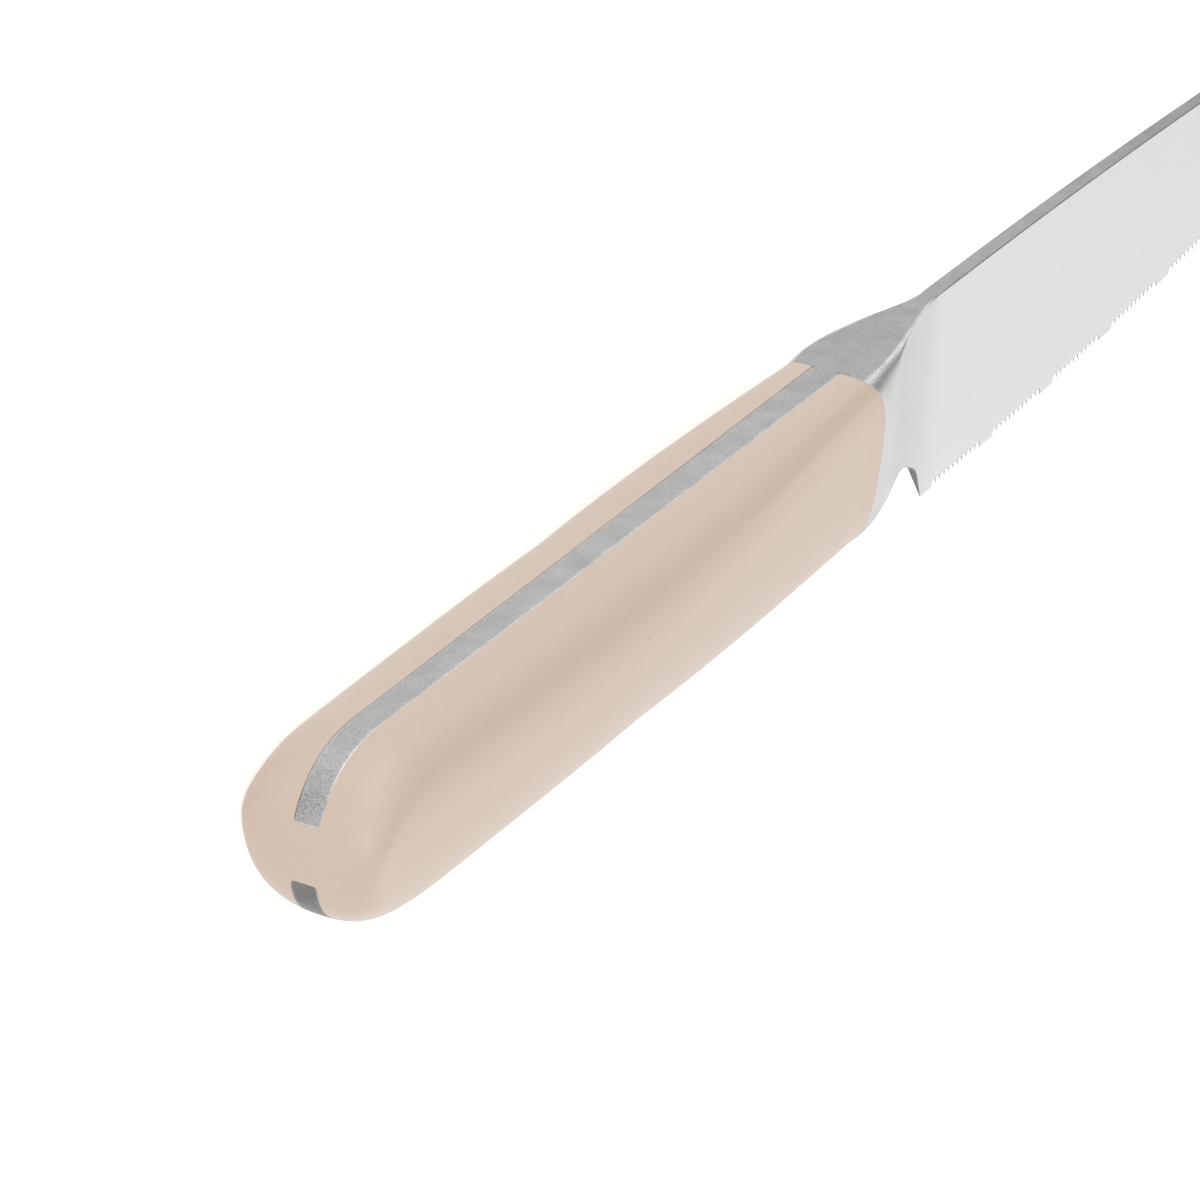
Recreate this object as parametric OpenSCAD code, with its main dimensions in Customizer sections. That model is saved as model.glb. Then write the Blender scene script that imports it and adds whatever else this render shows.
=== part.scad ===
// Serrated utility knife: a forged blade, bolster and full tang in one piece of steel,
// with a grip moulded round the tang over two core halves.
// The knife lies on its left side. X runs from butt to tip, Y from edge to spine and Z up
// through the thickness. It is drawn with x = 0 at the front corner of the grip, y = 0 on the
// top strap and z = 0 in the middle of the blade, and is then moved to the middle of its box.

/* [Grip] */
// Length of the grip from the butt to its front corner at the top strap
grip_l = 97.6; // [90:0.1:110]
// Depth of the grip from the top strap to the bottom strap
grip_h = 19.4; // [18:0.1:22]
// Nominal thickness of the grip at its thickest place
grip_t = 16.4; // [14.5:0.1:18]
// Nominal thickness of the grip where it meets the bolster
grip_front_t = 10.5; // [10:0.1:12]
// Nominal thickness of the grip at the butt before it rounds off
grip_butt_t = 15.6; // [14.5:0.1:18]
// Distance from the front of the grip back to its thickest place
grip_swell_l = 60; // [50:1:75]
// Squareness of the section at the middle, where 2 is an ellipse
grip_square = 2.6; // [2.2:0.1:3.4]
// Squareness of the section at the front
grip_front_square = 4.4; // [3:0.1:6]
// Distance from the front over which the section changes to that of the middle
grip_square_l = 45; // [30:1:60]
// Share by which the section is thicker towards the top strap
grip_wedge_share = 0.17; // [0:0.01:0.22]
// How far the front of the grip bows towards the blade at mid-depth
front_bow = 2.8; // [1.5:0.1:4]
// Squareness of the bow at the front of the grip
front_bow_square = 3.7; // [2.5:0.1:5]

/* [Butt] */
// Length over which the top corner of the butt rounds off
butt_top_l = 10.6; // [8:0.1:14]
// Squareness of the top corner
butt_top_square = 2.2; // [2:0.1:3]
// Length over which the lower corner of the butt rounds off
butt_low_l = 17.5; // [14:0.1:20]
// Squareness of the lower corner
butt_low_square = 2.7; // [2:0.1:3.2]
// Length over which the sides of the butt round off
butt_side_l = 3.7; // [3:0.1:8]
// Squareness of the sides of the butt, seen from above
butt_side_square = 3.1; // [2:0.1:3.5]

/* [Tang] */
// Thickness of the tang at the bolster
tang_t = 3.2; // [2.8:0.1:4]
// Thickness of the tang at the butt
tang_butt_t = 2.8; // [2.2:0.1:3.2]
// Distance from the top strap down to the opening in the rear of the tang
rear_gap_top = 6.05; // [4:0.05:8]
// Height of the opening in the rear of the tang
rear_gap_h = 5.85; // [4:0.05:8]
// Depth of the opening from the butt
rear_gap_l = 14; // [8:0.5:20]
// Radius of the eased edges of the opening
rear_gap_ease_r = 0.4; // [0.2:0.05:0.8]
// Number of lock holes through the tang
lock_count = 3; // [2:1:4]
// Radius of each lock hole
lock_r = 2.8; // [2:0.1:3.5]
// Distance from the front corner of the grip to the first lock hole
lock_first = 14; // [10:0.5:20]
// Distance between lock holes
lock_pitch = 23; // [18:0.5:25]

/* [Core halves] */
// Thickness of the outer skin over the cores
skin_t = 2.4; // [1.8:0.1:3]
// Clearance of a peg in its hole
peg_clearance = 0.05; // [0.02:0.01:0.1]
// Length of the core halves
core_l = 72; // [60:1:76]

/* [Bolster] */
// Distance from the front corner of the grip to the place where the flanks run out at the spine
bolster_l = 22.6; // [20:0.1:23.5]
// How much farther back the flanks run out at the underside
bolster_lean = 3; // [1.5:0.1:5]
// How far the underside of the bolster rises above the bottom strap
bolster_rise = 2.1; // [1:0.1:4]
// Distance from the front corner of the grip to the highest place of the underside
bolster_arch_x = 12.5; // [11:0.1:15]
// Fall of the spine along the bolster
bolster_fall = 0.4; // [0:0.05:1]
// Squareness of the bolster's section where it meets the blade
bolster_square = 50; // [12:1:60]

/* [Blade] */
// Length of the blade from the heel to the tip
blade_l = 140; // [120:1:150]
// Distance from the front corner of the grip to the heel
heel_x = 22; // [21:0.1:25]
// Distance from the heel back to the notch behind it
notch_l = 2.2; // [1.6:0.1:3]
// Fall of the underside from its highest place to the notch
notch_drop = 1.9; // [1:0.1:3]
// Softness of the notch, where the underside turns down to the heel
notch_soft = 0.15; // [0.1:0.01:0.3]
// Depth of the blade at the heel, measured from the top strap
blade_h = 23.7; // [22:0.1:28]
// Thickness of the spine at the heel
spine_t = 1.86; // [1.6:0.02:2.4]
// Loss of thickness along the spine, as a share of the length
spine_loss_share = 0.004; // [0.002:0.0005:0.006]
// Loss of thickness from spine to edge, as a share of the depth
grind_loss_share = 0.05; // [0.03:0.002:0.056]
// Fall of the spine from the bolster to the tip
spine_fall = 6.6; // [4:0.1:9]
// Extra fall of the spine near the tip
tip_fall = 2.6; // [1:0.1:5]
// Length of that extra fall
tip_l = 36; // [25:1:50]
// Height of the bevel at the edge
bevel_h = 2.2; // [1.5:0.1:3]
// Thickness left at the edge
edge_t = 0.12; // [0.08:0.02:0.2]

/* [Serrations] */
// Length of one group of teeth and the plain land after it
group_l = 13.77; // [12:0.01:16]
// Length of a plain land
land_l = 3; // [2:0.1:4]
// Length of the plain heel before the first group
heel_land_l = 2.4; // [1.5:0.1:4]
// Gullets in one group
group_gullets = 11; // [7:1:13]
// Height of a gullet above the edge line
gullet_h = 0.65; // [0.4:0.05:0.9]
// How far the points of the teeth stay behind the edge line
tooth_recess = 0.2; // [0:0.05:0.3]
// Plain length kept at the tip
tip_land_l = 16; // [12:0.5:30]

/* [Hidden] */
overrun = 1;
ring_points = 48;
butt_rings = 15;
body_rings = 15;
bolster_rings = 16;
edge_steps = 24;
tip_steps = 8;
spine_steps = 28;
heel_steps = 20;
heel_first = 4;
gullet_steps = 4;
ease_steps = 4;
core_steps = 10;
butt_bunching = 2.6;
flare_top_start = 1.15;
flare_low_start = 1.45;
flare_power = 1.6;
edge_power = 1.82;
sink = 0.03;
tang_inset = 0.3;
tip_x = heel_x + blade_l;
notch_x = heel_x - notch_l;
mid_y = -grip_h / 2;
arch_y = bolster_rise - grip_h;
half_spine = spine_t / 2;
loss_along = spine_loss_share / 2;
loss_down = grind_loss_share / 2;
tip_gap = edge_t * 2;
edge_rise = blade_h - bolster_fall - spine_fall - tip_fall - tip_gap;
group_count = floor((blade_l - heel_land_l - tip_land_l + land_l) / group_l);
tooth_l = (group_l - land_l) / group_gullets;

// Helpers
function mix(a, b, share) = a + (b - a) * share;
function limit(share) = max(0, min(1, share));
function ease(share) = (1 - cos(180 * limit(share))) / 2;
function signed_power(v, p) = sign(v) * pow(abs(v), p);
function soft_max(a, b, soft) = (a + b + sqrt(pow(a - b, 2) + pow(2 * soft, 2))) / 2;
function corner_share(u, square) = pow(1 - pow(limit(u), square), 1 / square);
function butt_share(x, l, square) = corner_share((l - grip_l - x) / l, square);

// Half the grip's thickness along its length, before the butt rounds off
function swell(x) = x > -grip_swell_l
    ? mix(grip_front_t, grip_t, sin(90 * limit(-x / grip_swell_l))) / 2
    : mix(grip_t, grip_butt_t, pow((-grip_swell_l - x) / (grip_l - grip_swell_l), 2)) / 2;

function grip_squareness(x) = mix(grip_front_square, grip_square, limit(-x / grip_square_l));

// The angle of each point of a ring; point i and its mirror image add up to the last index
function ring_angle(i) = 90 + 360 * (i + 0.5) / ring_points;
function up_share(i, square) = signed_power(sin(ring_angle(i)), 2 / square);
function side_share(i, square) = -signed_power(cos(ring_angle(i)), 2 / square);

function grip_ring(x) = let (square = grip_squareness(x)) [
    for (i = [0 : ring_points - 1])
        let (up = up_share(i, square))
        let (end = up > 0 ? butt_share(x, butt_top_l, butt_top_square)
                          : butt_share(x, butt_low_l, butt_low_square))
        [
            x,
            mid_y + grip_h / 2 * end * up,
            swell(x) * butt_share(x, butt_side_l, butt_side_square)
                * (1 + grip_wedge_share * up) * side_share(i, square)
        ]
];

butt_stations = [for (i = [1 : butt_rings]) -grip_l + butt_low_l * pow(i / butt_rings, butt_bunching)];
body_stations = [for (i = [1 : body_rings]) mix(butt_low_l - grip_l, 0, i / body_rings)];
grip_stations = concat(butt_stations, body_stations);
grip_rings = [for (x = concat(grip_stations, front_bow + overrun)) grip_ring(x)];
half_t = max([for (ring = grip_rings) for (p = ring) p[2]]);

// The curve of the front of the grip, seen from the side
function front_x(up) = front_bow * (1 - pow(abs(up), front_bow_square));

// Side view of the steel
function top_y(x) = -bolster_fall * ease(x / bolster_l)
    - spine_fall * pow(limit((x - heel_x) / blade_l), 2)
    - tip_fall * pow(limit((x - tip_x + tip_l) / tip_l), 2);
function edge_y(x) = -blade_h + edge_rise * pow(limit((x - heel_x) / blade_l), edge_power);

// The underside rises from the strap to the arch, falls to the notch and turns down to the heel
heel_slope = (blade_h + arch_y - notch_drop) / notch_l;
function arch_drop(x) = notch_drop * pow(max(0, x - bolster_arch_x) / (notch_x - bolster_arch_x), 2);
function heel_drop(x) = notch_drop + heel_slope * (x - notch_x);
function under_y(x) = -grip_h + bolster_rise * ease(x / bolster_arch_x)
    - soft_max(arch_drop(x), heel_drop(x), notch_soft);

// Half the blade's thickness at a place on its flat
function flat_z(x, y) = half_spine - loss_along * (x - heel_x) + loss_down * y;

// A closed solid through rings of the same count, with ladder caps at both ends
module loft(rings) {
    n = len(rings[0]);
    last = len(rings) - 1;
    sides = [
        for (j = [0 : last - 1]) for (i = [0 : n - 1])
            let (a = j * n + i)
            let (b = j * n + (i + 1) % n)
            each [[a, b + n, b], [a, a + n, b + n]]
    ];
    caps = [
        for (i = [0 : n / 2 - 2])
            let (a = i)
            let (b = n - 1 - i)
            let (far = last * n)
            each [
                [a, a + 1, b - 1], [a, b - 1, b],
                [far + a, far + b, far + b - 1], [far + a, far + b - 1, far + a + 1]
            ]
    ];
    polyhedron(points = [for (ring = rings) each ring], faces = concat(sides, caps));
}

module placed() {
    translate([-(tip_x - grip_l) / 2, blade_h / 2, half_t]) children();
}

// The outline of the tang, which is the outline of the grip at its middle
tang_outline = concat(
    [[front_bow, under_y(front_bow) + tang_inset], [front_bow, top_y(front_bow) - tang_inset]],
    [for (i = [len(grip_stations) - 1 : -1 : 0])
        let (x = grip_stations[i])
        [x, mid_y + grip_h / 2 * butt_share(x, butt_top_l, butt_top_square)]],
    [for (x = grip_stations) [x, mid_y - grip_h / 2 * butt_share(x, butt_low_l, butt_low_square)]]
);

module tang_taper_cut() {
    lean = atan((tang_t - tang_butt_t) / 2 / grip_l);
    translate([0, 0, tang_t / 2]) rotate([0, -lean, 0])
        translate([-grip_l - overrun, -grip_h - overrun, 0])
            cube([grip_l + front_bow + 2 * overrun, grip_h + 2 * overrun, half_t]);
}

// The opening in the rear of the tang, whose edges are eased where they meet its faces
rear_gap_wall = [
    for (i = [0 : ease_steps])
        let (a = 90 * i / ease_steps)
        [rear_gap_h / 2 + rear_gap_ease_r * (1 - cos(a)), tang_butt_t / 2 - rear_gap_ease_r * (1 - sin(a))]
];
rear_gap_half = concat(rear_gap_wall, [[rear_gap_h / 2 + rear_gap_ease_r, tang_t]]);
rear_gap_outline = concat(
    rear_gap_half,
    [for (i = [len(rear_gap_half) - 1 : -1 : 0]) [-rear_gap_half[i][0], rear_gap_half[i][1]]]
);

module rear_gap_side() {
    translate([-grip_l - overrun, -rear_gap_top - rear_gap_h / 2, 0]) rotate([90, 0, 90])
        linear_extrude(rear_gap_l + overrun) union() {
            polygon(rear_gap_outline);
            translate([-rear_gap_h / 2, -overrun / 2]) square([rear_gap_h, (tang_butt_t + overrun) / 2]);
        }
}

// The tang without its lock holes
module tang_plate() {
    difference() {
        linear_extrude(tang_t, center = true) polygon(tang_outline);
        tang_taper_cut();
        mirror([0, 0, 1]) tang_taper_cut();
        rear_gap_side();
        mirror([0, 0, 1]) rear_gap_side();
    }
}

// Round posts at the places of the lock holes
module posts(r, from, to) {
    for (i = [0 : lock_count - 1])
        translate([-lock_first - i * lock_pitch, mid_y, from])
            cylinder(r = r, h = to - from);
}

module tang() {
    difference() {
        tang_plate();
        posts(lock_r, -tang_t, tang_t);
    }
}

// The bolster blends from the grip's section to the blade's, and its top grows square first
function bolster_squareness(i, u) =
    mix(grip_front_square, bolster_square, sin(ring_angle(i)) > 0 ? 1 - pow(1 - u, 2) : pow(u, 2));
function flare_share(u, up) =
    pow(1 - pow(u, mix(flare_low_start, flare_top_start, (1 + up) / 2)), flare_power);
function bolster_ring(u) = [
    for (i = [0 : ring_points - 1])
        let (start = up_share(i, grip_front_square))
        let (square = bolster_squareness(i, u))
        let (up = up_share(i, square))
        let (x = mix(front_x(start), bolster_l - bolster_lean * (1 - up) / 2, u))
        let (from_front = x - front_x(start) * (1 - u))
        let (y = mix(under_y(from_front) + sink * u, top_y(from_front) - sink * u, (1 + up) / 2))
        let (grip_z = grip_front_t / 2 * (1 + grip_wedge_share * up))
        let (blade_z = flat_z(x, y) - sink)
        [x, y, mix(blade_z, grip_z, flare_share(u, up)) * side_share(i, square)]
];

module bolster() {
    loft([for (i = [0 : bolster_rings]) bolster_ring(i / bolster_rings)]);
}

// The serrated edge, from the heel to the tip, whose gullets are half rounds
gullet_shares = [
    for (i = [0 : gullet_steps - 1])
        let (a = 180 * i / gullet_steps)
        [(1 - cos(a)) / 2, sin(a)]
];
function gullet_y(x, k, rise) =
    let (tip_set = k == 0 && rise == 0 ? 0 : tooth_recess)
    edge_y(x) + mix(tip_set, gullet_h, rise);
toothed_edge = [
    for (g = [0 : group_count - 1])
        let (x0 = heel_x + heel_land_l + g * group_l)
        each concat(
            [for (k = [0 : group_gullets - 1]) for (s = gullet_shares)
                let (x = x0 + (k + s[0]) * tooth_l)
                [x, gullet_y(x, k, s[1])]],
            [let (x = x0 + group_gullets * tooth_l) [x, edge_y(x)]]
        )
];
last_tooth_x = heel_x + heel_land_l + group_count * group_l - land_l;
tip_edge = [
    for (i = [1 : tip_steps])
        let (x = mix(last_tooth_x, tip_x, i / tip_steps))
        [x, edge_y(x)]
];
spine_start = bolster_l - 2 * sink;
spine_line = [
    for (i = [0 : spine_steps])
        let (x = mix(tip_x, spine_start, i / spine_steps))
        [x, top_y(x)]
];
heel_line = [
    for (i = [heel_first : heel_steps])
        let (x = mix(bolster_arch_x, heel_x, i / heel_steps))
        [x, max(-blade_h, under_y(x))]
];
blade_outline = concat(
    [[bolster_arch_x, mid_y]],
    heel_line,
    toothed_edge,
    tip_edge,
    spine_line
);

// What lies outside one flat of the blade
module flat_cut() {
    down = atan(loss_down);
    along = atan(loss_along);
    translate([heel_x, 0, half_spine]) rotate([down, along, 0])
        translate([-tip_x, -blade_h - overrun, 0]) cube([2 * tip_x, blade_h + 2 * overrun, half_t]);
}

// What lies outside the bevel on one side of the edge
function bevel_ring(x) =
    let (root_y = edge_y(x) + bevel_h)
    let (slope = (flat_z(x, root_y) - edge_t / 2) / bevel_h)
    let (low = edge_y(x) - overrun)
    let (high = root_y + overrun)
    [
        [x, low, edge_t / 2 - slope * overrun],
        [x, high, edge_t / 2 + slope * (bevel_h + overrun)],
        [x, high, half_t],
        [x, low, half_t]
    ];

module bevel_cut() {
    loft([for (i = [0 : edge_steps]) bevel_ring(mix(bolster_arch_x, tip_x + overrun, i / edge_steps))]);
}

module blade() {
    difference() {
        linear_extrude(spine_t + overrun, center = true) polygon(blade_outline);
        flat_cut();
        mirror([0, 0, 1]) flat_cut();
        bevel_cut();
        mirror([0, 0, 1]) bevel_cut();
    }
}

module blade_forging() {
    color("silver") placed() union() {
        tang();
        bolster();
        blade();
    }
}

// The space that the bolster takes in front of the grip
front_line = [
    for (i = [0 : ring_points / 2 - 1])
        let (up = up_share(i, grip_front_square))
        [front_x(up), mid_y + grip_h / 2 * up]
];

module front_cut() {
    reach = front_bow + 2 * overrun;
    translate([0, 0, -half_t - overrun]) linear_extrude(2 * (half_t + overrun))
        polygon(concat(
            [[reach, overrun], [0, overrun]],
            front_line,
            [[0, -grip_h - overrun], [reach, -grip_h - overrun]]
        ));
}

// One core half: it lies on the tang and stops short of the skin by its thickness
core_front = -skin_t;
core_rear = core_front - core_l;
core_r = 2 * skin_t;
core_corner_x = [core_front - core_r, core_rear + core_r];
core_corner_y = [-skin_t - core_r, skin_t + core_r - grip_h];
core_plan = concat(
    [[core_front, 0], [core_rear, 0]],
    [for (i = [0 : core_steps])
        let (x = mix(core_rear, core_front, i / core_steps))
        [x, swell(x) - skin_t]]
);
core_section = [
    for (i = [0 : ring_points / 2 - 1])
        let (up = up_share(i, grip_square))
        [
            mid_y + (grip_h / 2 - skin_t) * up,
            (grip_t / 2 - skin_t) * (1 + grip_wedge_share * up) * side_share(i, grip_square)
        ]
];

module core_body() {
    intersection() {
        translate([0, mid_y, 0]) rotate([-90, 0, 0]) mirror([0, 1, 0])
            linear_extrude(grip_h, center = true) polygon(core_plan);
        linear_extrude(half_t) hull() {
            for (x = core_corner_x, y = core_corner_y)
                translate([x, y]) circle(core_r);
        }
        translate([-grip_l, 0, 0]) rotate([90, 0, 90]) linear_extrude(grip_l) polygon(core_section);
    }
}

module core_half() {
    difference() {
        core_body();
        tang_plate();
    }
}

module core_right() {
    color("tan") placed() union() {
        core_half();
        posts(lock_r - peg_clearance, 0, tang_t);
    }
}

module core_left() {
    color("peru") placed() union() {
        mirror([0, 0, 1]) core_half();
        mirror([0, 0, 1]) posts(lock_r - peg_clearance, 0, tang_t);
    }
}

module grip_skin() {
    color("bisque") placed() difference() {
        loft(grip_rings);
        front_cut();
        tang_plate();
        core_body();
        mirror([0, 0, 1]) core_body();
    }
}

blade_forging();
grip_skin();
core_left();
core_right();
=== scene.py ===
import math

import bpy
import numpy as np
from mathutils import Matrix, Vector


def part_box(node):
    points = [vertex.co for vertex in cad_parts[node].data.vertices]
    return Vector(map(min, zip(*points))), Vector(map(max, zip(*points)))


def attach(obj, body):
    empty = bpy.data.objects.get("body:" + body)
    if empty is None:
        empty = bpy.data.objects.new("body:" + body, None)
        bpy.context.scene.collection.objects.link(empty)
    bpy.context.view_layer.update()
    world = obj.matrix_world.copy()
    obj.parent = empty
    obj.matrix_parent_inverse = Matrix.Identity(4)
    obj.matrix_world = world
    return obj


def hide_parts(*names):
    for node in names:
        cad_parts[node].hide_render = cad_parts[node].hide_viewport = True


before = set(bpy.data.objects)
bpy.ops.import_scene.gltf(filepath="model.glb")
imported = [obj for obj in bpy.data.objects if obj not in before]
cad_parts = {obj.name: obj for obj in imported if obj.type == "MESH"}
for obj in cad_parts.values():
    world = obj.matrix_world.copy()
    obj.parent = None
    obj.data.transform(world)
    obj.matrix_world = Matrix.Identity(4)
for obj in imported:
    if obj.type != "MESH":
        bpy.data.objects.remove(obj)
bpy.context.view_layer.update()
print("frame loaded:", ", ".join(sorted(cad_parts)))

# Shapes are drawn in mm, with x = 0 at the front corner of the grip, y = 0 on the top strap
# and z = 0 in the middle of the blade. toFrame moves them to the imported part's own place.
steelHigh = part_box("blade_forging")[1]
gripLow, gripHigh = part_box("grip_skin")
millimetre = 0.001
tipX = 162
# edges that turn by more degrees than this are drawn sharp, unless a piece has its own angle
sharpAngle = 30
frameShift = np.array([
    steelHigh[0] / millimetre - tipX,
    steelHigh[1] / millimetre,
    (gripLow[2] + gripHigh[2]) / 2 / millimetre,
])


def toFrame(points):
    return (np.asarray(points, dtype=float) + frameShift) * millimetre


def mix(a, b, share):
    return a + (b - a) * share


def limit(value):
    return np.clip(value, 0, 1)


def ease(value):
    return (1 - np.cos(math.pi * limit(value))) / 2


def signedPower(value, power):
    return np.sign(value) * np.abs(value) ** power


def cornerShare(u, square):
    return (1 - limit(u) ** square) ** (1 / square)


def meshObject(name, points, faces, smoothAngle=sharpAngle):
    mesh = bpy.data.meshes.new(name)
    mesh.from_pydata(toFrame(points).tolist(), [], faces)
    mesh.validate()
    mesh.shade_smooth()
    mesh.set_sharp_from_angle(angle=math.radians(smoothAngle))
    thing = bpy.data.objects.new(name, mesh)
    bpy.context.collection.objects.link(thing)
    return thing


# in a ring, point i and the last point minus i lie across from each other, which closes both ends
def loftFaces(ringCount, pointCount):
    faces = []
    for j in range(ringCount - 1):
        for i in range(pointCount):
            a = j * pointCount + i
            b = j * pointCount + (i + 1) % pointCount
            faces.append((a, b, b + pointCount, a + pointCount))
    last = (ringCount - 1) * pointCount
    for i in range(pointCount // 2 - 1):
        j = pointCount - 1 - i
        faces.append((i, j, j - 1, i + 1))
        faces.append((last + i, last + i + 1, last + j - 1, last + j))
    return faces


def loftObject(name, rings, smoothAngle=sharpAngle):
    rings = np.asarray(rings)
    faces = loftFaces(rings.shape[0], rings.shape[1])
    return meshObject(name, rings.reshape(-1, 3), faces, smoothAngle)


def prismFaces(count):
    sides = [(i, (i + 1) % count, (i + 1) % count + count, i + count) for i in range(count)]
    return [tuple(range(count))[::-1], tuple(range(count, 2 * count))] + sides


def applyModifiers(thing, smoothAngle):
    bpy.context.view_layer.update()
    graph = bpy.context.evaluated_depsgraph_get()
    old = thing.data
    mesh = bpy.data.meshes.new_from_object(thing.evaluated_get(graph))
    thing.modifiers.clear()
    thing.data = mesh
    bpy.data.meshes.remove(old)
    mesh.shade_smooth()
    mesh.set_sharp_from_angle(angle=math.radians(smoothAngle))


def carve(thing, cutters, smoothAngle=sharpAngle):
    for cutter in cutters:
        step = thing.modifiers.new("cut", "BOOLEAN")
        step.operation = "DIFFERENCE"
        step.solver = "EXACT"
        step.object = cutter
    applyModifiers(thing, smoothAngle)
    for cutter in cutters:
        bpy.data.objects.remove(cutter)


grip = {
    "length": 97.6,
    "depth": 19.4,
    "thickness": 16.4,
    "frontThickness": 10.5,
    "buttThickness": 15.6,
    "swellLength": 60,
    "square": 2.6,
    "frontSquare": 4.4,
    "squareLength": 45,
    "wedge": 0.17,
    "bow": 2.8,
    "bowSquare": 3.7,
    "topCorner": (10.6, 2.2),
    "lowCorner": (17.5, 2.7),
    "sideCorner": (3.7, 3.1),
    "buttRings": 60,
    "buttCrowding": 3,
    "bodyRings": 60,
    "points": 160,
    "jointGap": 0.02,
}
# how far the shapes that cut the grip and the tang stand out of them
cutting = {
    "grow": 0.3,
    "past": 1,
    "ahead": 6,
    "gapHalf": 3,
    "frontHalf": 10,
    "frontPoints": 81,
}
midY = -grip["depth"] / 2


def buttShare(x, corner):
    length, square = corner
    return cornerShare((length - grip["length"] - x) / length, square)


def swell(x):
    if x > -grip["swellLength"]:
        rise = math.sin(math.pi / 2 * min(1, max(0, -x / grip["swellLength"])))
        return mix(grip["frontThickness"], grip["thickness"], rise) / 2
    back = (-grip["swellLength"] - x) / (grip["length"] - grip["swellLength"])
    return mix(grip["thickness"], grip["buttThickness"], back ** 2) / 2


def gripSquare(x):
    return mix(grip["frontSquare"], grip["square"], limit(-x / grip["squareLength"]))


def ringAngles(count):
    return math.pi / 2 + 2 * math.pi * (np.arange(count) + 0.5) / count


def upShare(angles, square):
    return signedPower(np.sin(angles), 2 / square)


def sideShare(angles, square):
    return -signedPower(np.cos(angles), 2 / square)


def gripRing(x, angles):
    square = gripSquare(x)
    up = upShare(angles, square)
    end = np.where(up > 0, buttShare(x, grip["topCorner"]), buttShare(x, grip["lowCorner"]))
    half = swell(x) * buttShare(x, grip["sideCorner"])
    return np.stack([
        np.full(len(angles), x),
        midY + grip["depth"] / 2 * end * up,
        half * (1 + grip["wedge"] * up) * sideShare(angles, square),
    ], axis=1)


def gripStations():
    lowLength = grip["lowCorner"][0]
    buttSteps = np.arange(1, grip["buttRings"] + 1) / grip["buttRings"]
    bodySteps = np.arange(1, grip["bodyRings"] + 1) / grip["bodyRings"]
    butt = -grip["length"] + lowLength * buttSteps ** grip["buttCrowding"]
    body = mix(lowLength - grip["length"], grip["bow"] + cutting["past"], bodySteps)
    return np.concatenate([butt, body])


def frontX(up):
    return grip["bow"] * (1 - np.abs(up) ** grip["bowSquare"])


tang = {
    "thickness": 3.2,
    "buttThickness": 2.8,
    "gapTop": 6.05,
    "gapHeight": 5.85,
    "gapLength": 14,
    "gapEase": 0.4,
    "gapEaseDegrees": 15,
    "edgeAcross": 1.1,
    "edgeDown": 0.08,
    "edgeSteps": 9,
    "endStep": 0.001,
    "frontTop": 0.1,
    "frontLow": 0.6,
    "smoothAngle": 40,
}


def tangOutline(grow=0):
    stations = gripStations()
    stations = np.concatenate([[-grip["length"] + tang["endStep"]], stations[stations < 0]])
    half = grip["depth"] / 2 + grow
    top = [(x, midY + half * buttShare(x, grip["topCorner"])) for x in stations]
    low = [(x, midY - half * buttShare(x, grip["lowCorner"])) for x in stations]
    front = [
        (0, -grip["depth"]),
        (grip["bow"], -grip["depth"] + tang["frontLow"]),
        (grip["bow"], -tang["frontTop"]),
        (0, 0),
    ]
    if grow:
        front = [(2 * grip["bow"], -grip["depth"] - grow), (2 * grip["bow"], grow)]
    return low + front + top[::-1]


def halfTang(x):
    return mix(tang["thickness"], tang["buttThickness"], -x / grip["length"]) / 2


# layers of the tang's outline, rounded off by edgeAcross and edgeDown where a face meets the strap
def tangPlate(name, spread, grow=0, crown=1):
    outline = np.array(tangOutline(grow))
    half = np.array([halfTang(x) for x in outline[:, 0]]) + spread
    ahead = np.roll(outline, -1, axis=0) - outline
    ahead /= np.linalg.norm(ahead, axis=1)[:, None]
    along = ahead + np.roll(ahead, 1, axis=0)
    along /= np.linalg.norm(along, axis=1)[:, None]
    inward = np.stack([-along[:, 1], along[:, 0]], axis=1)
    turns = np.linspace(0, math.pi / 2, tang["edgeSteps"])
    layers = []
    for side, order in ((-1, turns), (1, turns[::-1])):
        for turn in order:
            flat = outline + inward * crown * tang["edgeDown"] * (1 - math.sin(turn))
            z = side * (half - tang["edgeAcross"] * (1 - math.cos(turn)))
            layers.append(np.column_stack([flat, z]))
    return loftObject(name, layers, tang["smoothAngle"])


# the opening in the rear of the tang, with eased edges; shrink makes it smaller all round
def gapCutter(shrink=0):
    eased, step = tang["gapEase"], tang["gapEaseDegrees"]
    half = tang["buttThickness"] / 2 - shrink
    reach = tang["gapHeight"] / 2 - shrink
    quarter = [math.radians(a) for a in range(0, 90 + step, step)]
    wall = [(reach + eased * (1 - math.cos(a)), half - eased * (1 - math.sin(a))) for a in quarter]
    wall.append((reach + eased, cutting["gapHalf"]))
    right = wall + [(-y, z) for y, z in wall[::-1]]
    section = right + [(y, -z) for y, z in right[::-1]]
    xs = (-grip["length"] - cutting["past"], -grip["length"] + tang["gapLength"] - shrink)
    middle = -tang["gapTop"] - tang["gapHeight"] / 2
    points = [(x, middle + y, z) for x in xs for y, z in section]
    return meshObject("gap", points, prismFaces(len(section)))


# all that lies in front of the grip's bowed front
def frontCutter(gap):
    ahead, past = cutting["ahead"], cutting["past"]
    low = -grip["depth"] - past
    ups = np.linspace(1, -1, cutting["frontPoints"])
    line = [(float(frontX(up)) - gap, midY + grip["depth"] / 2 * up) for up in ups]
    outline = [(ahead, past), (-gap, past)] + line + [(-gap, low), (ahead, low)]
    sides = (-cutting["frontHalf"], cutting["frontHalf"])
    points = [(x, y, z) for z in sides for x, y in outline]
    return meshObject("frontCutter", points, prismFaces(len(outline)))


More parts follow.
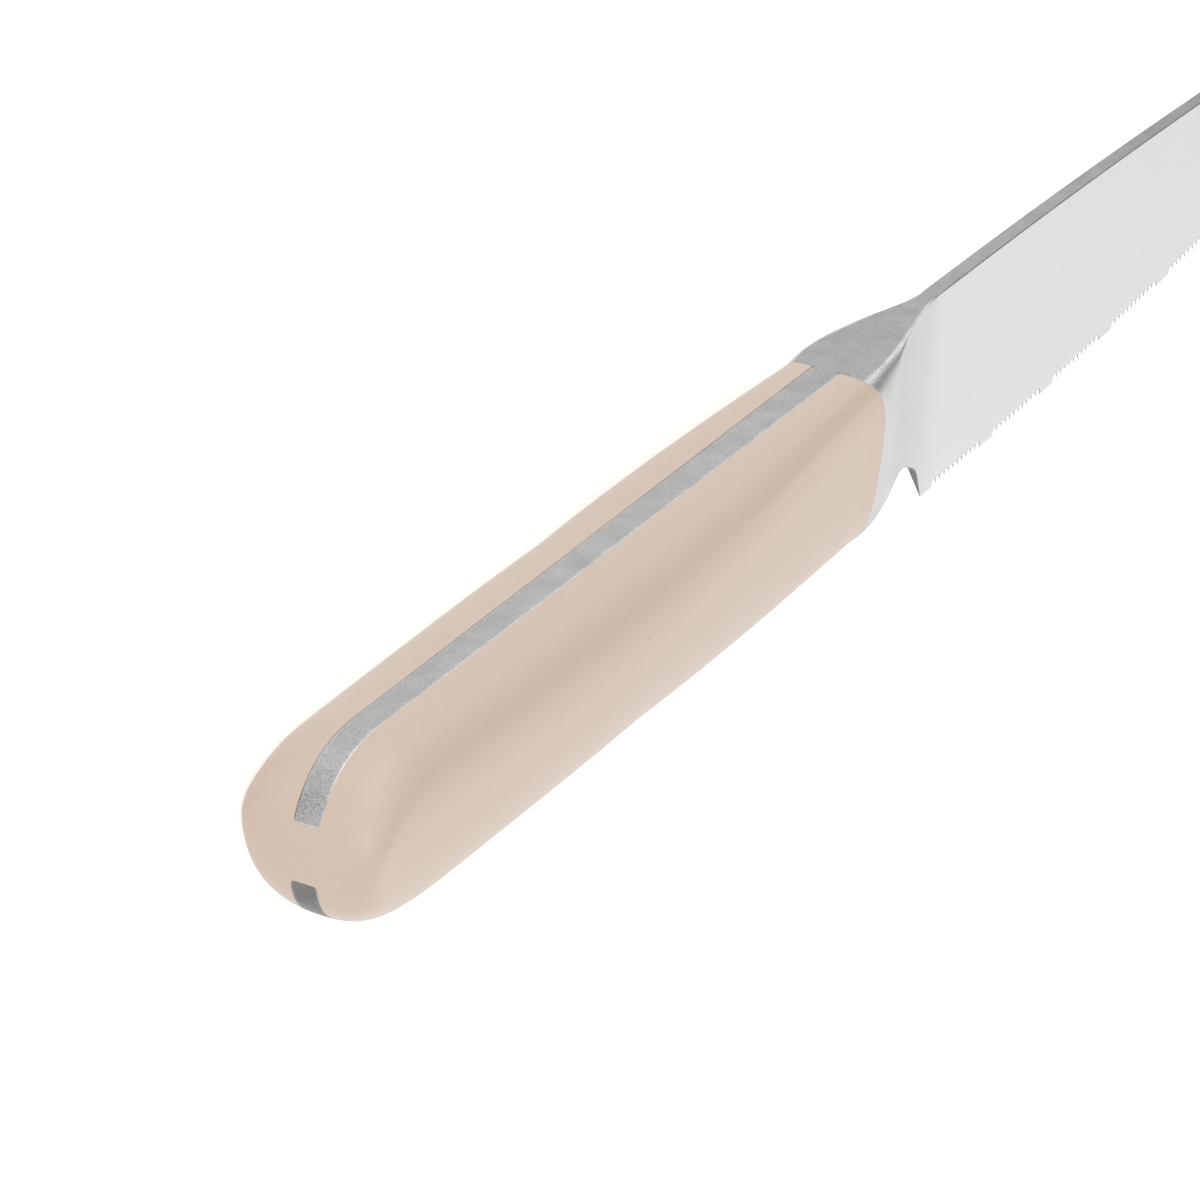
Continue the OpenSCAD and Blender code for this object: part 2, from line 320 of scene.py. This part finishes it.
angles = ringAngles(grip["points"])
gripPiece = loftObject("gripPiece", [gripRing(x, angles) for x in gripStations()])

tangPiece = tangPlate("tangPiece", 0)
carve(tangPiece, [gapCutter()])
print("tang made:", len(tangPiece.data.polygons), "faces")

tangCutter = tangPlate("tangCutter", grip["jointGap"], cutting["grow"], 0)
carve(tangCutter, [gapCutter(grip["jointGap"])])
carve(gripPiece, [tangCutter, frontCutter(grip["jointGap"])])
print("grip made:", len(gripPiece.data.polygons), "faces")

bolster = {
    "length": 22.6,
    "lean": 3,
    "rise": 1.85,
    "archX": 14,
    "fall": 0.4,
    "fallFrom": 11,
    "ridgeAcross": (0.75, 0.22),
    "ridgeDown": (0.55, 0.12),
    "ridgeGrowth": 9,
    "ridgeFade": 5,
    "lowGrowth": 4.2,
    "flareTop": 1.17,
    "flareLow": 1.5,
    "flarePower": 1.75,
    "sink": 0.003,
    "overlap": 0.6,
    "frontCorner": 0.99,
    "ridgeSquare": 2,
    "rings": 90,
    "crowding": 1.5,
    "topPoints": 8,
    "cornerPoints": 20,
    "flankPoints": 20,
    "smoothAngle": 50,
}
# from easeShare on, only how the blade's mesh is laid out
blade = {
    "length": 140,
    "heelX": 22,
    "depth": 23.7,
    "spineThickness": 1.86,
    "lossAlong": 0.002,
    "lossDown": 0.025,
    "spineFall": 6.6,
    "tipFall": 2.6,
    "tipLength": 36,
    "bevelHeight": 3.4,
    "edgeThickness": 0.07,
    "edgePower": 1.82,
    "notchLength": 2.2,
    "notchDrop": 1.9,
    "notchSoft": 0.15,
    "spineEase": 0.08,
    "easeShare": 0.3,
    "edgeStep": 0.01,
    "leastHalf": 0.02,
    "bevelShare": 0.98,
    "startShare": 0.2,
    "startPoints": 60,
    "smoothAngle": 20,
}
teeth = {
    "groupLength": 13.77,
    "landLength": 3,
    "heelLand": 2.4,
    "gullets": 11,
    "gulletHeight": 0.75,
    "recess": 0.2,
    "tipLand": 16,
    "stepsPerGullet": 10,
    "heelPoints": 14,
    "tipPoints": 24,
    "chamfer": (0.14, 0.1),
}
archY = bolster["rise"] - grip["depth"]
edgeRise = blade["depth"] - bolster["fall"] - blade["spineFall"] - blade["tipFall"]
edgeRise -= 2 * blade["edgeThickness"]


def topY(x):
    return (
        -bolster["fall"] * ease((x - bolster["fallFrom"]) / (bolster["length"] - bolster["fallFrom"]))
        - blade["spineFall"] * limit((x - blade["heelX"]) / blade["length"]) ** 2
        - blade["tipFall"] * limit((x - tipX + blade["tipLength"]) / blade["tipLength"]) ** 2
    )


def edgeY(x):
    return -blade["depth"] + edgeRise * limit((x - blade["heelX"]) / blade["length"]) ** blade["edgePower"]


# the underside rises from the strap to the arch, falls to the notch and turns down to the heel
def underY(x):
    notchX = blade["heelX"] - blade["notchLength"]
    slope = (blade["depth"] + archY - blade["notchDrop"]) / blade["notchLength"]
    arch = blade["notchDrop"] * (np.maximum(0, x - bolster["archX"]) / (notchX - bolster["archX"])) ** 2
    heel = blade["notchDrop"] + slope * (x - notchX)
    drop = (arch + heel + np.sqrt((arch - heel) ** 2 + (2 * blade["notchSoft"]) ** 2)) / 2
    return -grip["depth"] + bolster["rise"] * ease(x / bolster["archX"]) - drop


def flatZ(x, y):
    return blade["spineThickness"] / 2 - blade["lossAlong"] * (x - blade["heelX"]) + blade["lossDown"] * y


# up and side shares of a box with rounded corners, from the middle of its top to just above half way down
def cornerQuarter(across, down, square):
    turn = np.linspace(0, math.pi / 2, bolster["cornerPoints"])
    top = (np.arange(bolster["topPoints"]) + 0.5) / (bolster["topPoints"] + 0.5) * (1 - across)
    flank = (1 - down) * (1 - np.arange(1, bolster["flankPoints"]) / bolster["flankPoints"])
    side = 1 - across + across * np.sin(turn) ** (2 / square)
    up = 1 - down + down * np.cos(turn) ** (2 / square)
    return np.concatenate([np.ones(len(top)), up, flank]), np.concatenate([top, side, np.ones(len(flank))])


# the corners go from the whole section, as on the grip's front, to the ridge's own size
def bolsterSection(u, topShare, lowShare, halfWidth, halfDepth):
    quarters = []
    faded = 1 - (1 - u) ** bolster["ridgeFade"]
    for share in (topShare, lowShare):
        across = mix(bolster["frontCorner"], mix(*bolster["ridgeAcross"], faded) / halfWidth, share)
        down = mix(bolster["frontCorner"], mix(*bolster["ridgeDown"], faded) / halfDepth, share)
        square = mix(grip["frontSquare"], bolster["ridgeSquare"], share)
        quarters.append(cornerQuarter(across, down, square))
    (topUp, topSide), (lowUp, lowSide) = quarters
    up = np.concatenate([topUp, [0], -lowUp[::-1]])
    side = np.concatenate([topSide, [1], lowSide[::-1]])
    return np.concatenate([up, up[::-1]]), np.concatenate([side, -side[::-1]])


def bolsterRing(u):
    halfDepth = grip["depth"] / 2
    narrowed = 1 - (1 - u) ** bolster["flarePower"]
    halfWidth = mix(grip["frontThickness"] / 2, blade["spineThickness"] / 2, narrowed)
    start = bolsterSection(0, 0, 0, halfWidth, halfDepth)[0]
    topShare = 1 - (1 - u) ** bolster["ridgeGrowth"]
    lowShare = 1 - (1 - u) ** bolster["lowGrowth"]
    up, side = bolsterSection(u, topShare, lowShare, halfWidth, halfDepth)
    x = mix(frontX(start), bolster["length"] - bolster["lean"] * (1 - up) / 2, u)
    fromFront = x - frontX(start) * (1 - u)
    sink = bolster["sink"] * u
    y = mix(underY(fromFront) + sink, topY(fromFront) - sink, (1 + up) / 2)
    gripZ = grip["frontThickness"] / 2 * (1 + grip["wedge"] * up)
    bladeZ = flatZ(x, y) - bolster["sink"]
    flare = mix(bolster["flareLow"], bolster["flareTop"], (1 + up) / 2)
    share = (1 - u ** flare) ** bolster["flarePower"]
    return np.stack([x, y, mix(bladeZ, gripZ, share) * side], axis=1)


bolsterSteps = np.linspace(0, 1, bolster["rings"]) ** bolster["crowding"]
bolsterPiece = loftObject("bolsterPiece", [bolsterRing(u) for u in bolsterSteps], bolster["smoothAngle"])
print("bolster made:", len(bolsterPiece.data.polygons), "faces")


# x and y of the toothed edge, from the heel to the tip
def toothedEdge():
    toothLength = (teeth["groupLength"] - teeth["landLength"]) / teeth["gullets"]
    toothed = blade["length"] - teeth["heelLand"] - teeth["tipLand"] + teeth["landLength"]
    groups = int(toothed / teeth["groupLength"])
    line = []
    for group in range(groups):
        start = blade["heelX"] + teeth["heelLand"] + group * teeth["groupLength"]
        for k in range(teeth["gullets"]):
            for step in range(teeth["stepsPerGullet"]):
                turn = math.pi * step / teeth["stepsPerGullet"]
                x = start + (k + (1 - math.cos(turn)) / 2) * toothLength
                low = 0 if k == 0 and turn < math.pi / 2 else teeth["recess"]
                line.append((x, float(edgeY(x)) + mix(low, teeth["gulletHeight"], math.sin(turn))))
        x = start + teeth["gullets"] * toothLength
        line.append((x, float(edgeY(x))))
    for x in np.linspace(line[-1][0], tipX, teeth["tipPoints"])[1:]:
        line.append((x, float(edgeY(x))))
    return line


# the right half of the blade's section at x, in six points from the middle of the spine to lowY
def bladeColumn(x, spineY, lowY):
    edge = float(edgeY(x))
    eased, share = blade["spineEase"], blade["easeShare"]
    rootY = edge + blade["bevelHeight"]
    slope = (flatZ(x, rootY) - blade["edgeThickness"] / 2) / blade["bevelHeight"]
    chamferHeight, chamferDepth = teeth["chamfer"]
    hollow = float(limit((lowY - edge - teeth["recess"]) / teeth["recess"])) if x > blade["heelX"] else 0
    easedY = spineY - eased
    cutY = lowY + (blade["edgeStep"] + chamferHeight * hollow)
    bevelY = max(cutY, min(easedY, rootY), mix(easedY, cutY, blade["bevelShare"]))
    ys = np.array([spineY, spineY - eased * share, easedY, bevelY, cutY, lowY])
    zs = np.minimum(flatZ(x, ys), blade["edgeThickness"] / 2 + slope * (ys - edge))
    zs[-1] = max(blade["leastHalf"], zs[-1] - chamferDepth * hollow)
    zs[0] -= min(eased, zs[0] / 2)
    zs[1] -= min(eased, zs[1] / 2) * share
    return [(x, float(y), float(z)) for y, z in zip(ys, zs)]


# it starts inside the bolster, where its spine is sunk out of sight
def bladeObject():
    startX = mix(bolster["archX"], blade["heelX"], blade["startShare"])
    landEnd = blade["heelX"] + teeth["heelLand"]
    startXs = np.linspace(startX, blade["heelX"], blade["startPoints"])
    landXs = np.linspace(blade["heelX"], landEnd, teeth["heelPoints"])[1:-1]
    outline = [(float(x), max(-blade["depth"], float(underY(x)))) for x in startXs]
    outline += [(float(x), float(edgeY(x))) for x in landXs] + toothedEdge()
    covered = bolster["length"] - bolster["overlap"]
    rings = []
    for x, lowY in outline:
        hidden = limit((covered - x) / (covered - bolster["archX"]))
        column = bladeColumn(x, float(topY(x)) + midY * hidden, lowY)
        rings.append(column + [(x, y, -z) for x, y, z in column[::-1]])
    return loftObject("bladePiece", rings, blade["smoothAngle"])


bladePiece = bladeObject()
print("blade made:", len(bladePiece.data.polygons), "faces")


# a value in a material: arithmetic on it adds Math nodes
class Flow:
    def __init__(self, paint, socket):
        self.paint = paint
        self.socket = socket

    def maths(self, operation, *values):
        return self.paint.node("ShaderNodeMath", {"operation": operation}, dict(enumerate(values)))

    def __add__(self, other):
        return self.maths("ADD", self, other)

    def __radd__(self, other):
        return self.maths("ADD", other, self)

    def __sub__(self, other):
        return self.maths("SUBTRACT", self, other)

    def __rsub__(self, other):
        return self.maths("SUBTRACT", other, self)

    def __mul__(self, other):
        return self.maths("MULTIPLY", self, other)

    def __rmul__(self, other):
        return self.maths("MULTIPLY", other, self)

    def __truediv__(self, other):
        return self.maths("DIVIDE", self, other)

    def __rtruediv__(self, other):
        return self.maths("DIVIDE", other, self)

    def __pow__(self, other):
        return self.maths("POWER", self, other)

    def __rpow__(self, other):
        return self.maths("POWER", other, self)

    def __abs__(self):
        return self.maths("ABSOLUTE", self)


# a node tree, and the one way to add nodes to it
class Paint:
    def __init__(self, owner):
        owner.use_nodes = True
        self.material = owner
        self.tree = owner.node_tree
        self.tree.nodes.clear()

    def node(self, kind, settings=None, inputs=None, output=0):
        made = self.tree.nodes.new(kind)
        for key, value in (settings or {}).items():
            setattr(made, key, value)
        for key, value in (inputs or {}).items():
            if isinstance(value, Flow):
                self.tree.links.new(value.socket, made.inputs[key])
            else:
                made.inputs[key].default_value = value
        return Flow(self, made.outputs[output]) if made.outputs else None

    # 0 below low and 1 above high, with a soft step between them
    def smooth(self, value, low, high):
        return self.node(
            "ShaderNodeMapRange", {"interpolation_type": "SMOOTHSTEP"},
            {"Value": value, "From Min": low, "From Max": high},
        )

    def place(self, scale=(1, 1, 1)):
        spot = self.node("ShaderNodeTexCoord", output="Object")
        return self.node("ShaderNodeMapping", {}, {"Vector": spot, "Scale": scale})

    def part(self, vector, axis):
        return self.node("ShaderNodeSeparateXYZ", {}, {"Vector": vector}, axis)

    def ray(self, kind):
        return self.node("ShaderNodeLightPath", output=kind)

    def noise(self, vector, scale, detail=2, roughness=0.5):
        return self.node(
            "ShaderNodeTexNoise", {},
            {"Vector": vector, "Scale": scale, "Detail": detail, "Roughness": roughness},
            "Fac",
        )

    # the colour sockets of the Mix node have the numbers 6, 7 and, at its output, 2
    def blend(self, mask, first, second):
        return self.node("ShaderNodeMix", {"data_type": "RGBA"}, {"Factor": mask, 6: first, 7: second}, 2)

    def bump(self, height, strength, distance):
        inputs = {"Strength": strength, "Distance": distance, "Height": height}
        return self.node("ShaderNodeBump", {}, inputs)

    def emission(self, strength):
        return self.node("ShaderNodeEmission", {}, {"Color": white, "Strength": strength})

    def shade(self, inputs):
        surface = self.node("ShaderNodeBsdfPrincipled", {}, inputs)
        self.node("ShaderNodeOutputMaterial", {}, {"Surface": surface})

    def finish(self, things):
        for thing in things:
            thing.data.materials.clear()
            thing.data.materials.append(self.material)


# a colour as linear light, from the levels of 0 to 255 that a picture shows
def linear(red, green, blue):
    channels = []
    for level in (red, green, blue):
        share = level / 255
        channels.append(share / 12.92 if share <= 0.04045 else ((share + 0.055) / 1.055) ** 2.4)
    return (*channels, 1)


def grey(level):
    return linear(level, level, level)


white = (1, 1, 1, 1)
plastic = {
    "colour": linear(212, 191, 173),
    "mottle": linear(208, 186, 167),
    "mottleScale": 2600,
    "speck": linear(184, 162, 146),
    "speckScale": 1100,
    "speckRange": (0.76, 0.8),
    "speckShare": 0.5,
    "reliefStrength": 0.15,
    "reliefHeight": 0.00005,
    "roughness": 0.42,
    "shine": 0.8,
    "coat": 0.5,
    "coatRoughness": 0.36,
}
gripPaint = Paint(bpy.data.materials.new("grip"))
spot = gripPaint.place()
grain = gripPaint.noise(spot, plastic["mottleScale"])
specks = gripPaint.noise(spot, plastic["speckScale"], 1)
specks = gripPaint.smooth(specks, *plastic["speckRange"])
colour = gripPaint.blend(grain, plastic["colour"], plastic["mottle"])
colour = gripPaint.blend(specks * plastic["speckShare"], colour, plastic["speck"])
gripPaint.shade({
    "Base Color": colour,
    "Roughness": plastic["roughness"],
    "Normal": gripPaint.bump(grain, plastic["reliefStrength"], plastic["reliefHeight"]),
    "Specular IOR Level": plastic["shine"],
    "Coat Weight": plastic["coat"],
    "Coat Roughness": plastic["coatRoughness"],
})

# some tones below are painted light: the bright joint, ridge and strap-edge lines are painted highlights,
# and the dark under, gullet, lower-corner and spine-edge tones are painted shade
# grain, bands, speckle, clouds and spineLines are how far each of them varies the tone
steel = {
    "flat": grey(221),
    "flank": grey(213),
    "strap": grey(176),
    "bolsterTop": grey(166),
    "spine": grey(166),
    "spineTip": grey(148),
    "underShade": grey(126),
    "jointHighlight": grey(244),
    "jointHighlightShare": 0.7,
    "gulletShade": grey(160),
    "lowCorner": grey(190),
    "ridgeHighlight": grey(220),
    "ridgeShade": grey(198),
    "spineEdgeShade": grey(104),
    "strapEdgeHighlight": grey(212),
    "strapEndHighlightShare": 0.8,
    "pit": grey(120),
    "pitScale": 6500,
    "pitRange": (0.53, 0.63),
    "pitShare": 0.7,
    "grain": 0.09,
    "grainScale": (4500, 1500, 400),
    "bands": 0.12,
    "bandScale": (2200, 40, 1),
    "speckle": 1.2,
    "speckleScale": (6500, 6500, 4500),
    "speckleRoughness": 0.6,
    "clouds": 0.5,
    "cloudScale": 350,
    "spineLines": 0.5,
    "spineLineScale": (600, 6000, 7000),
    "reliefStrength": 0.1,
    "reliefHeight": 0.00003,
    "roughness": 0.36,
    "grainRoughness": 0.06,
}
# where one tone gives way to the next: x and y in mm, the others by the slope of the surface
steelZones = {
    "tangX": (-0.5, 0.5),
    "bolsterTopX": (-20, 14),
    "nearGripX": (0.8, 6),
    "ridgeShadeX": (1, 4.5),
    "jointX": (0.06, 0.2),
    "bladeX": (19, 25),
    "spineX": (18, 30),
    "spineTipX": (35, 90),
    "toothX": (22.6, 23.4),
    "strapTopY": (-4.2, -2.6),
    "wornLowY": (-5.5, -4.9),
    "wornTopY": (-3.9, -2.9),
    "strapEndY": (-6, -5.84),
    "strapEndLowY": (-8, -7),
    "flat": (0.85, 0.95),
    "ridgeHighlight": (0.6, 0.78),
    "corner": (0.2, 0.45),
    "lowCorner": (-0.55, -0.1),
    "underShade": (-0.1, 0.5),
    "strap": (0.08, 0.3),
    "strapLessOnTang": 0.04,
    "strapMoreNearGrip": (0.27, 0.3),
}
steelPaint = Paint(bpy.data.materials.new("steel"))


def zone(value, name):
    return steelPaint.smooth(value, *steelZones[name])


spot = steelPaint.place()
alongX = steelPaint.part(spot, "X") / millimetre - float(frameShift[0])
alongY = steelPaint.part(spot, "Y") / millimetre - float(frameShift[1])
normal = steelPaint.node("ShaderNodeNewGeometry", output="Normal")
normalY = steelPaint.part(normal, "Y")
sideways = abs(steelPaint.part(normal, "Z"))

onFlat = zone(sideways, "flat")
onTang = 1 - zone(alongX, "tangX")
offTang = 1 - onTang
onBlade = zone(alongX, "bladeX")
nearGrip = (1 - zone(alongX, "nearGripX")) * offTang
strapLow, strapHigh = steelZones["strap"]
moreLow, moreHigh = steelZones["strapMoreNearGrip"]
strapLow = strapLow - onTang * steelZones["strapLessOnTang"] + nearGrip * moreLow
onStrap = 1 - steelPaint.smooth(sideways, strapLow, strapHigh + nearGrip * moreHigh)

# strap, bolster top and spine are darker than the flats partly for a coarser finish and partly as painted
# shade, standing in for the dimmer reflection these faces show; the spine gets darker still towards the tip
strapTone = steelPaint.blend(zone(alongX, "bolsterTopX"), steel["strap"], steel["bolsterTop"])
strapTone = steelPaint.blend(zone(alongX, "spineX"), strapTone, steel["spine"])
strapTone = steelPaint.blend(zone(alongX, "spineTipX"), strapTone, steel["spineTip"])
# painted shade: faces that look downwards are dark, and on the toothed edge the gullets get a lighter
# painted shade
underShadeTone = steelPaint.blend(zone(alongX, "toothX"), steel["underShade"], steel["gulletShade"])
strapTone = steelPaint.blend(1 - zone(normalY, "underShade"), strapTone, underShadeTone)
# a painted highlight: a bright line along the lower end of the strap at the butt
strapEndHighlight = (1 - zone(alongY, "strapEndY")) * zone(alongY, "strapEndLowY") * onTang
strapTone = steelPaint.blend(strapEndHighlight * steel["strapEndHighlightShare"], strapTone, steel["strapEdgeHighlight"])

# painted highlight and shade on the steel's eased edges: a bright line along the bolster's ridge, with a
# darker band beside it near the grip
ridgeShade = steelPaint.blend(zone(alongX, "ridgeShadeX"), steel["ridgeShade"], steel["flank"])
edgeHighlightAndShade = steelPaint.blend(zone(normalY, "ridgeHighlight"), ridgeShade, steel["ridgeHighlight"])
# a painted highlight on the strap's eased edges, bright near the top of the grip and fading out lower down
tangEdgeHighlight = steelPaint.blend(zone(alongY, "strapTopY"), steel["strap"], steel["strapEdgeHighlight"])
edgeHighlightAndShade = steelPaint.blend(onTang, edgeHighlightAndShade, tangEdgeHighlight)
# painted shade: a thin dark line on the blade's eased spine edges
edgeHighlightAndShade = steelPaint.blend(onBlade, edgeHighlightAndShade, steel["spineEdgeShade"])
onCorner = zone(normalY, "corner")
tone = steelPaint.blend(onBlade, steel["flank"], steel["flat"])
tone = steelPaint.blend(onCorner + (1 - onCorner) * onTang, tone, edgeHighlightAndShade)
# painted shade: off the tang, faces that look downwards are darker, a grey on the bolster's lower corner
# and the gullet shade on the blade
lowCornerShade = steelPaint.blend(onBlade, steel["lowCorner"], steel["gulletShade"])
tone = steelPaint.blend((1 - zone(normalY, "lowCorner")) * offTang, tone, lowCornerShade)

# a painted highlight: a thin bright line on the steel along its joint with the grip's bowed front
acrossGrip = abs((alongY - midY) / (grip["depth"] / 2))
jointX = (1 - acrossGrip ** grip["bowSquare"]) * grip["bow"]
jointHighlightMask = (1 - zone(alongX - jointX, "jointX")) * offTang
tone = steelPaint.blend(jointHighlightMask * steel["jointHighlightShare"], tone, steel["jointHighlight"])
tone = steelPaint.blend(onStrap, tone, strapTone)
pits = steelPaint.noise(spot, steel["pitScale"], 1)
pits = steelPaint.smooth(pits, *steel["pitRange"])
worn = zone(alongY, "wornLowY") * (1 - zone(alongY, "wornTopY")) * onTang
tone = steelPaint.blend(pits * worn * onStrap * steel["pitShare"], tone, steel["pit"])

flatGrain = steelPaint.noise(steelPaint.place(steel["grainScale"]), 1, 3)
flatBands = steelPaint.noise(steelPaint.place(steel["bandScale"]), 1)
speckle = steelPaint.noise(steelPaint.place(steel["speckleScale"]), 1, 2, steel["speckleRoughness"])
spineLines = steelPaint.noise(steelPaint.place(steel["spineLineScale"]), 1, 3)
clouds = steelPaint.noise(spot, steel["cloudScale"], 3)
flatLevel = 1 + (flatGrain - 0.5) * steel["grain"]
flatLevel = flatLevel + (flatBands - 0.5) * steel["bands"] * (1 - onBlade)
strapLevel = 1 + (speckle - 0.5) * steel["speckle"] * (1 - onBlade)
strapLevel = strapLevel + (clouds - 0.5) * steel["clouds"]
strapLevel = strapLevel + (spineLines - 0.5) * steel["spineLines"] * onBlade
level = strapLevel + (flatLevel - strapLevel) * onFlat
height = speckle + (flatGrain - speckle) * onFlat
colour = steelPaint.node("ShaderNodeVectorMath", {"operation": "SCALE"}, {"Vector": tone, "Scale": level})
steelPaint.shade({
    "Base Color": colour,
    "Metallic": 1,
    "Roughness": steel["roughness"] + height * steel["grainRoughness"],
    "Normal": steelPaint.bump(height, steel["reliefStrength"], steel["reliefHeight"]),
})

core = {"colour": linear(150, 140, 130), "roughness": 0.6}
corePaint = Paint(bpy.data.materials.new("core"))
corePaint.shade({"Base Color": core["colour"], "Roughness": core["roughness"]})

steelPieces = [tangPiece, bolsterPiece, bladePiece]
steelPaint.finish(steelPieces + [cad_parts["blade_forging"]])
gripPaint.finish([gripPiece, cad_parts["grip_skin"]])
corePaint.finish([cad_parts["core_left"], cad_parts["core_right"]])
for piece in steelPieces:
    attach(piece, "root")
    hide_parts("blade_forging")
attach(gripPiece, "root")
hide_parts("grip_skin")
print("materials made")

studio = {
    "floorSize": 6,
    "floorColour": (0.97, 0.97, 0.97, 1),
    "cameraGlow": 0.6,
    "glossShare": 0.85,
    "glossLight": 1.1,
    "worldLight": 0.78,
    "stripAcross": tuple(Vector((0.19, -0.957, 0.1)).normalized()),
    "stripWidth": (0.06, 0.44),
    "stripEnd": (-0.95, -0.5),
    "stripDepth": 0.7,
}
floorPaint = Paint(bpy.data.materials.new("floor"))
diffuse = floorPaint.node("ShaderNodeBsdfDiffuse", {}, {"Color": studio["floorColour"]})
glow = floorPaint.emission(floorPaint.ray("Is Camera Ray") * studio["cameraGlow"])
shown = floorPaint.node("ShaderNodeAddShader", {}, {0: diffuse, 1: glow})
mirrored = floorPaint.emission(studio["glossLight"])
glossy = floorPaint.ray("Is Glossy Ray") * studio["glossShare"]
surface = floorPaint.node("ShaderNodeMixShader", {}, {0: glossy, 1: shown, 2: mirrored})
floorPaint.node("ShaderNodeOutputMaterial", {}, {"Surface": surface})
half = studio["floorSize"] / 2
corners = [(-half, -half, 0), (half, -half, 0), (half, half, 0), (-half, half, 0)]
floorMesh = bpy.data.meshes.new("floor")
floorMesh.from_pydata(corners, [], [(0, 1, 2, 3)])
floor = bpy.data.objects.new("floor", floorMesh)
bpy.context.collection.objects.link(floor)
floorPaint.finish([floor])

# the world is white to the camera; what reflects has a dark strip in it
world = bpy.data.worlds.new("studio")
bpy.context.scene.world = world
sky = Paint(world)
cameraRay = sky.ray("Is Camera Ray")
glossyRay = sky.ray("Is Glossy Ray")
direction = sky.node("ShaderNodeTexCoord", output="Generated")
across = sky.node(
    "ShaderNodeVectorMath", {"operation": "DOT_PRODUCT"}, {0: direction, 1: studio["stripAcross"]}, "Value",
)
strip = (1 - sky.smooth(abs(across), *studio["stripWidth"])) * studio["stripDepth"]
dark = strip * sky.smooth(sky.part(direction, "X"), *studio["stripEnd"])
glossyMore = glossyRay * (1 - studio["worldLight"] - dark)
background = sky.node("ShaderNodeBackground", {}, {
    "Color": white,
    "Strength": cameraRay + (1 - cameraRay) * (studio["worldLight"] + glossyMore),
})
sky.node("ShaderNodeOutputWorld", {}, {"Surface": background})

lamps = {
    "edgeSide": {"place": (0.2, -0.85, 1.15), "size": (1.6, 1.6), "power": 4.7},
    "spineSide": {"place": (-0.15, 1.5, 0.14), "size": (2, 0.6), "power": 4.6},
    "buttSide": {"place": (-1.5, 0.3, 0.2), "size": (1, 0.6), "power": 2.6},
}
for name, lamp in lamps.items():
    light = bpy.data.lights.new(name, "AREA")
    light.shape = "RECTANGLE"
    light.size, light.size_y = lamp["size"]
    light.energy = lamp["power"]
    thing = bpy.data.objects.new(name, light)
    thing.location = lamp["place"]
    thing.rotation_euler = (-Vector(lamp["place"])).to_track_quat("-Z", "Y").to_euler()
    bpy.context.collection.objects.link(thing)

# the place of the camera in mm, from the front corner of the grip, and its right and up directions
shot = {
    "place": (-584.71, 321.56, 307.44),
    "right": (0.5051, 0.0232, 0.8627),
    "up": (0.3924, 0.8842, -0.2535),
    "lens": 220.1,
    "sensor": 36,
    "near": 0.05,
    "far": 50,
}
camera = bpy.data.cameras.new("camera")
camera.lens = shot["lens"]
camera.sensor_width = shot["sensor"]
camera.clip_start = shot["near"]
camera.clip_end = shot["far"]
eye = bpy.data.objects.new("camera", camera)
bpy.context.collection.objects.link(eye)
right = Vector(shot["right"]).normalized()
up = (Vector(shot["up"]) - right * right.dot(Vector(shot["up"]))).normalized()
back = right.cross(up)
turn = Matrix((right, up, back)).transposed().to_4x4()
eye.matrix_world = Matrix.Translation(Vector(toFrame([shot["place"]])[0])) @ turn
bpy.context.scene.camera = eye
bpy.context.scene.view_settings.view_transform = "Standard"
print("camera and light made")
